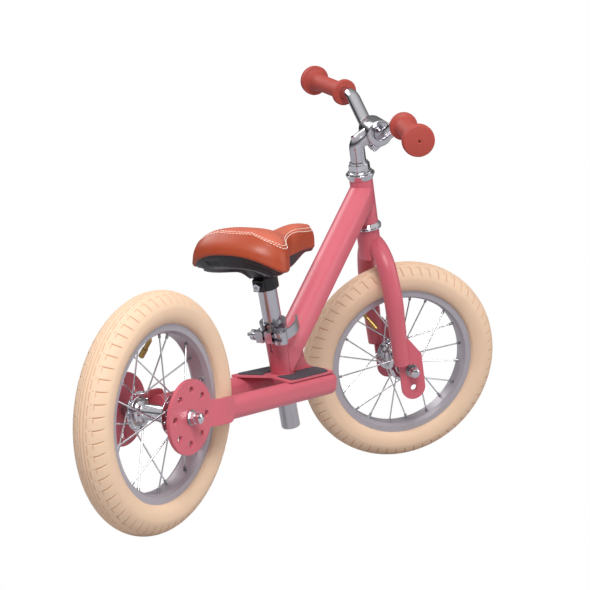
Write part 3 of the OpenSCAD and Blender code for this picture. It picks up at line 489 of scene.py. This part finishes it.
def make_stem():
    """The quill bent forward into a thickening arm, and the round eye with its slotted lug that holds the bar."""
    path = smooth_path([(0, 0, 226), (0, 0, 341), (31, 0, 351)], (13,), 1.5)
    grow = ease((path[:, 0] - 4) / 22)
    section = circle(1.0, 64)[None] * np.stack([11.1 + 1.6 * grow, 11.1 + 4.4 * grow], -1)[:, None]
    swept("stem_body", STEERED(path), section * MM, "fork", polished, ("stem",))
    eye = Place(STEERED(BAR_CENTRE), STEERED.z, STEERED.x)
    bore = [(-19.5, 9.6), (-19.5, 19.2), (19.5, 19.2), (19.5, 9.6)]
    turned("stem_eye", ring_profile(bore, (0.8, 2.6, 2.6, 0.8)), eye, "fork", polished)
    lug = np.array([(-21, -9.5), (3, -9.5), (3, 9.5), (-21, 9.5)], float)
    edge = np.concatenate([rounded([lug[k - 1], lug[k], lug[(k + 1) % 4]], (3.0,), 5)[1:-1] for k in range(4)])
    # The lug's own levels up its axis, each with the share of its outline; the two at half are its slot
    tilt = math.radians(29)
    levels = np.array([(-20.5, 0.90), (-20.0, 0.97), (-19.0, 1.0), (-10.2, 1.0), (-9.8, 0.97), (-9.8, 0.5),
                       (-7.9, 0.5), (-7.9, 0.97), (-7.4, 1.0), (-4.0, 1.0)])
    middle = edge.mean(0)
    flat = np.concatenate([np.concatenate([middle + (edge - middle) * k, np.full((len(edge), 1), z)], 1)[None]
                           for z, k in levels])
    x, z = flat[..., 0], flat[..., 2]
    flat = BAR_CENTRE + np.stack([x * math.cos(tilt) - z * math.sin(tilt), flat[..., 1],
                                  x * math.sin(tilt) + z * math.cos(tilt)], -1)
    count = len(edge)
    faces = [list(f) for f in grid_faces(len(levels), count, wrap_columns=True)]
    faces += [list(range(count)), [(len(levels) - 1) * count + k for k in range(count)]]
    tidy(piece("stem_lug", STEERED(flat), faces, "fork", polished), 1e-7)


def make_hubs():
    """Front and rear hubs of one pattern."""
    make_hub("front_hub_shell", FRONT_WHEEL, "front_wheel", "front_hub")
    make_hub("rear_hub_shell", REAR_WHEEL, "rear_wheel", "rear_hub")


# ---------------------------------------------------------------- saddle

SADDLE_REAR, SADDLE_NOSE = 151.0, 369.0
SPINE_REAR, SPINE_NOSE = 201.0, 352.0


def saddle_width(x):
    """Half width: full behind, closing in a smooth step to a tapering nose, with superellipse ends."""
    body = 70.5 - 50.0 * ease((x - 180) / 105) - 8.0 * ease((x - 285) / 65)
    back = np.clip((196 - x) / (196 - SADDLE_REAR), 0, 1)
    front = np.clip((x - 336) / (SADDLE_NOSE - 336), 0, 1)
    return body * np.clip(1 - back**2.5, 0, 1) ** 0.42 * np.clip(1 - front**2.2, 0, 1) ** 0.5


def saddle_crest(x):
    """Height along the middle: a broad rise behind, a dip at the waist and a second rise before the nose."""
    rise = 358.5 + 5.5 * ease((x - SADDLE_REAR) / 36)
    return rise - 8.0 * ease((x - 205) / 62) + 6.5 * ease((x - 276) / 48) - 8.0 * np.clip((x - 332) / 36, 0, 1) ** 2


def saddle_edge(x):
    """Height of the cover's lower edge: high at the very back, lowest on the flanks, and lifting under the nose."""
    return 314.5 + 17.5 * ease((x - 190) / 140) + 20.5 * np.clip((SADDLE_REAR + 34 - x) / 34, 0, 1) ** 1.7


def saddle_outline(count):
    """Points of the plan outline, evenly spaced by arc length, from the rear middle round the left to the rear."""
    x = SADDLE_REAR + (SADDLE_NOSE - SADDLE_REAR) * (1 - np.cos(np.linspace(0, np.pi, 900))) / 2
    y = saddle_width(x)
    half = np.stack([x, y], -1)
    full = np.concatenate([half, (half * (1, -1))[-2:0:-1]])
    closed = np.concatenate([full, full[:1]])
    along = np.concatenate([[0], np.cumsum(np.linalg.norm(np.diff(closed, axis=0), axis=1))])
    even = np.linspace(0, along[-1], count, endpoint=False)
    return np.stack([np.interp(even, along, closed[:, k]) for k in range(2)], -1)


def spine_point(x):
    """Where on the middle line an outline point at x leads to."""
    return SPINE_REAR + (SPINE_NOSE - SPINE_REAR) * ease((x - SADDLE_REAR - 6) / (SADDLE_NOSE - SADDLE_REAR - 12))


def saddle_surface(outline, s):
    """The cover at inward shares s (0 at the lower edge, 1 on the middle line) for each outline point.

    In plan a point moves straight from the outline to the spine; its height follows a superellipse, so the skirt
    stands nearly upright and the top is flat and softly crowned.
    """
    x, y = outline[:, None, 0], outline[:, None, 1]
    s = np.clip(np.broadcast_to(s, (len(outline), np.shape(s)[-1])), 0, 1)
    px = x + s * (spine_point(x) - x)
    py = y * (1 - s)
    low = saddle_edge(x)
    rise = (1 - (1 - s) ** 3) ** (1 / 2.2)
    pz = low + (saddle_crest(px) - low) * rise
    return np.stack([px, py, pz], -1)


def seam_share(x):
    """Inward share at which the seam runs, from its height: high behind, low on the flanks, high at the nose."""
    height = 342.5 + 17.0 * np.clip((SADDLE_REAR + 40 - x) / 40, 0, 1) ** 1.5 + 12.0 * ease((x - 215) / 95)
    rise = (height - saddle_edge(x)) / (saddle_crest(x) - saddle_edge(x))
    return 1 - (1 - np.clip(rise, 0.3, 0.9) ** 2.2) ** (1 / 3)


def make_saddle_cover():
    """The padded cover: the crowned surface with a pinched seam, rolled under at its edge and closed beneath."""
    outline = saddle_outline(420)
    s = np.concatenate([np.linspace(0, 0.5, 56), np.linspace(0.5, 1, 22)[1:]])[None, :]
    top = saddle_surface(outline, s)
    share = seam_share(outline[:, 0])[:, None]
    reach = np.linalg.norm(top[:, 0, :2] - top[:, -1, :2], axis=1)[:, None]
    off_seam = (s - share) * reach
    pinch = 1.5 * np.exp(-((off_seam / 1.5) ** 2)) - 0.55 * np.exp(-(((np.abs(off_seam) - 4.2) / 2.2) ** 2))
    outward = np.stack([outline[:, 0] - spine_point(outline[:, 0]), outline[:, 1]], -1)
    outward /= np.linalg.norm(outward, axis=1)[:, None] + 1e-9
    slope = np.clip(1 - s * 3.0, 0, 1)
    top[..., 0] -= outward[:, None, 0] * pinch * slope
    top[..., 1] -= outward[:, None, 1] * pinch * slope
    top[..., 2] -= pinch * (1 - 0.5 * slope)
    # Roll under the edge: (inwards, down) in millimetres, then level to the spine
    roll = [(-0.2, 1.4), (0.3, 2.8), (1.6, 3.9), (3.6, 4.1), (7.0, 3.2)]
    under = []
    for inwards, down in roll:
        ring = top[:, 0].copy()
        ring[:, :2] -= outward * inwards
        ring[:, 2] -= down
        under.append(ring)
    for q in (0.3, 0.65, 1.0):
        ring = under[4].copy()
        ring[:, 0] += q * (spine_point(outline[:, 0]) - ring[:, 0])
        ring[:, 1] *= 1 - q
        under.append(ring)
    full = np.concatenate([np.stack(under[::-1], 1), top], 1)
    rows, columns = full.shape[:2]
    made = piece("saddle_cover", full * MM, grid_faces(rows, columns, wrap_rows=True), "seat", leather,
                 ("saddle_cushion",))
    # Painted shade: the skirt below the seam and the rolled-under edge are tinted redder and darker than the lit top
    skirt = np.concatenate([np.ones((rows, len(under))), np.clip((share - s) / 0.02, 0, 1) + 0 * off_seam], 1)
    mark(made, "skirt", skirt)
    tidy(made, 2e-5)


def bead_mesh(centres, tangents, normals, length, width, height, around=6, along=4):
    """Many small capsules joined in one mesh: each is an ellipsoid stretched along its tangent."""
    lat = np.linspace(0, np.pi, along + 1)
    lon = np.linspace(0, 2 * np.pi, around, endpoint=False)
    shape = np.stack([np.cos(lat)[:, None] + 0 * lon, np.sin(lat)[:, None] * np.cos(lon),
                      np.sin(lat)[:, None] * np.sin(lon)], -1).reshape(-1, 3)
    third = np.cross(tangents, normals)
    points = (centres[:, None] + shape[None, :, :1] * tangents[:, None] * length / 2
              + shape[None, :, 1:2] * third[:, None] * width / 2
              + shape[None, :, 2:3] * normals[:, None] * height / 2)
    faces = grid_faces(along + 1, around, wrap_columns=True)
    every = (faces[None] + (np.arange(len(centres)) * len(shape))[:, None, None]).reshape(-1, 4)
    return points, every


def make_stitching():
    """Two rows of short raised stitches, one each side of the seam, spaced evenly along it."""
    outline = saddle_outline(1600)
    share = seam_share(outline[:, 0])
    step = 0.004
    inner, outer = (saddle_surface(outline, (share + k * step)[:, None])[:, 0] for k in (1, -1))
    slope = np.linalg.norm(inner - outer, axis=1) / (2 * step)
    rows = []
    for side in (-1, 1):
        s = share + side * 2.3 / slope
        line = saddle_surface(outline, s[:, None])[:, 0]
        deeper = saddle_surface(outline, s[:, None] + 0.01)[:, 0]
        along = np.roll(line, -1, 0) - np.roll(line, 1, 0)
        along /= np.linalg.norm(along, axis=1)[:, None]
        up = np.cross(along, deeper - line)
        up /= np.linalg.norm(up, axis=1)[:, None] + 1e-9
        up *= np.sign(up[:, 2:3] + 1e-9)
        travel = np.concatenate([[0], np.cumsum(np.linalg.norm(np.diff(line, axis=0), axis=1))])
        picks = np.searchsorted(travel, np.arange(0, travel[-1] - 2, 4.6))
        centre = line[picks] + up[picks] * 0.1
        rows.append(bead_mesh(centre * MM, along[picks], up[picks], 3.4 * MM, 1.2 * MM, 1.1 * MM))
    offset = len(rows[0][0].reshape(-1, 3))
    points = np.concatenate([rows[0][0].reshape(-1, 3), rows[1][0].reshape(-1, 3)])
    faces = np.concatenate([rows[0][1], rows[1][1] + offset])
    tidy(piece("saddle_stitching", points, faces, "seat", thread), 1e-7)


def make_saddle_base():
    """The moulded pan: a wall tucked inside the cover's edge, scalloped pockets, a smooth belly and a boss."""
    outline = saddle_outline(360)
    x = outline[:, 0]
    centre_x = spine_point(x)
    low = saddle_edge(x) - 2.5
    belly = 304.0 + 20.0 * ease((x - 268) / 70) + 9.0 * ease((180 - x) / 30)
    pocket = np.clip(np.sin((x + outline[:, 1] * 0.6 - 160) / 7.5) * 2.5, 0, 1) * (x < 235)
    # Each ring: share inwards, and share of the way down from the cover's edge to the belly
    rings = [(0.05, -0.3), (0.06, 0.15), (0.10, 0.35), (0.13, 0.45), (0.17, 0.62), (0.21, 0.80), (0.27, 0.93),
             (0.36, 1.0), (0.48, 1.0)]
    levels = []
    for k, (share, down) in enumerate(rings):
        inwards = share + (0.05 * pocket if k in (3, 4) else 0 * pocket)
        levels.append(np.stack([x + inwards * (centre_x - x), outline[:, 1] * (1 - inwards),
                                low + down * (np.minimum(belly, low - 5) - low)], -1))
    boss = np.array([247.5, 0.0, 299.5])
    start = levels[-1]
    for q in (0.15, 0.32, 0.5, 0.66, 0.8, 0.9, 0.96, 1.0):
        ring = start + (boss - start) * q
        reach = np.hypot(ring[:, 0] - boss[0], ring[:, 1] - boss[1])
        near = ease((34 - reach) / 16)
        ring[:, 2] = start[:, 2] + (boss[2] + 0.34 * (ring[:, 0] - boss[0]) - start[:, 2]) * near
        levels.append(ring)
    roof = np.stack([centre_x, 0 * x, low + 2], -1)
    full = np.stack([roof, *levels], 1)
    rows, columns = full.shape[:2]
    made = piece("saddle_pan", full * MM, grid_faces(rows, columns, wrap_rows=True, flip=True), "seat",
                 base_plastic, ("saddle_base",))
    tidy(made, 2e-5)


# ---------------------------------------------------------------- stage and camera


def stage_floor():
    """A wide pale floor that returns light from below and stays out of the camera's sight."""
    size = 12.0
    mesh = bpy.data.meshes.new("floor")
    mesh.from_pydata([(-size, -size, 0), (size, -size, 0), (size, size, 0), (-size, size, 0)], [], [(0, 1, 2, 3)])
    floor = bpy.data.objects.new("floor", mesh)
    bpy.context.scene.collection.objects.link(floor)
    mesh.materials.append(finish("studio_floor", "#B8B8BC", 0.9))
    floor.visible_camera = False


def area_light(name, place, target, size, power):
    """A soft square light aimed at a point."""
    data = bpy.data.lights.new(name, "AREA")
    data.energy, data.size = power, size
    lamp = bpy.data.objects.new(name, data)
    bpy.context.scene.collection.objects.link(lamp)
    lamp.location = place
    lamp.rotation_euler = (Vector(target) - Vector(place)).to_track_quat("-Z", "Y").to_euler()


def studio_world():
    """White to the camera, and to everything else bands that are dark at eye level, for the metals to mirror."""
    world = bpy.data.worlds.new("studio")
    world.use_nodes = True
    tree = world.node_tree
    behind = tree.nodes["Background"]
    behind.inputs["Color"].default_value = (1, 1, 1, 1)
    height = add(tree, "ShaderNodeSeparateXYZ", {}, {0: add(tree, "ShaderNodeTexCoord").outputs["Generated"]})
    ramp = add(tree, "ShaderNodeValToRGB", {}, {"Fac": height.outputs["Z"]})
    bands = ramp.color_ramp.elements
    bands[0].position, bands[0].color = 0.0, (0.10, 0.10, 0.11, 1)
    bands[1].position, bands[1].color = 0.75, (0.95, 0.95, 0.95, 1)
    for place, shade in ((0.16, 0.12), (0.30, 0.62)):
        bands.new(place).color = (shade, shade, shade, 1)
    # Darker beyond the bike, so that the metals and tube edges have something dark to mirror
    beyond = add(tree, "ShaderNodeVectorMath", {"operation": "DOT_PRODUCT", 1: (0.86, 0.51, 0.0)},
                 {0: height.inputs[0].links[0].from_socket})
    dimmed = add(tree, "ShaderNodeMapRange", {"From Min": 0.0, "From Max": 0.7, "To Min": 0.85, "To Max": 0.3},
                 {"Value": beyond.outputs["Value"]})
    around = add(tree, "ShaderNodeBackground", {},
                 {"Color": ramp.outputs["Color"], "Strength": dimmed.outputs["Result"]})
    to_camera = add(tree, "ShaderNodeLightPath").outputs["Is Camera Ray"]
    mix = add(tree, "ShaderNodeMixShader", {}, {0: to_camera, 1: around.outputs[0], 2: behind.outputs[0]})
    tree.links.new(mix.outputs[0], tree.nodes["World Output"].inputs["Surface"])
    bpy.context.scene.world = world


def studio_lights():
    """A large key light from the front left, a weak fill from the right and a light from behind."""
    middle = (0.3, 0, 0.25)
    area_light("key", (-1.3, -1.2, 2.2), middle, 1.2, 62)
    area_light("fill", (1.6, -2.2, 0.9), middle, 1.5, 12)
    area_light("back", (0.6, 2.0, 2.0), middle, 1.2, 22)


# The solved view: turn about the vertical, lift and roll in degrees, distance and aim in metres, lens in millimetres
CAMERA_TURN, CAMERA_LIFT, CAMERA_ROLL = -59.29, 6.19, 0.80
CAMERA_AIM, CAMERA_SHIFT = (0.25, 0, 0.25), (0.03882, 0.02282)
CAMERA_AWAY, CAMERA_LENS = 2.50056, 115.72


def solved_camera():
    """Looks back along its own z axis at the aim, which is first shifted to the right and up in the view's plane."""
    turn, lift, roll = (math.radians(a) for a in (CAMERA_TURN, CAMERA_LIFT, CAMERA_ROLL))
    back = Vector((math.sin(turn) * math.cos(lift), -math.cos(turn) * math.cos(lift), math.sin(lift)))
    right = Vector((math.cos(turn), math.sin(turn), 0))
    up = back.cross(right)
    target = Vector(CAMERA_AIM) + CAMERA_SHIFT[0] * right + CAMERA_SHIFT[1] * up
    rolled_right = math.cos(roll) * right + math.sin(roll) * up
    rolled_up = math.cos(roll) * up - math.sin(roll) * right
    camera = bpy.data.objects.new("camera", bpy.data.cameras.new("camera"))
    bpy.context.scene.collection.objects.link(camera)
    camera.data.lens, camera.data.sensor_width = CAMERA_LENS, 36.0
    camera.data.clip_end = 60.0
    camera.data.dof.use_dof = False
    axes = Matrix((rolled_right, rolled_up, back)).transposed().to_4x4()
    camera.matrix_world = Matrix.Translation(target + back * CAMERA_AWAY) @ axes
    bpy.context.scene.camera = camera
    bpy.context.scene.view_settings.view_transform = "Standard"


dress_packed_nodes()
make_tyres()
make_grip("left")
make_grip("right")
make_handlebar()
make_headset()
make_stem()
make_hubs()
make_saddle_cover()
make_stitching()
make_saddle_base()
stage_floor()
studio_world()
studio_lights()
solved_camera()
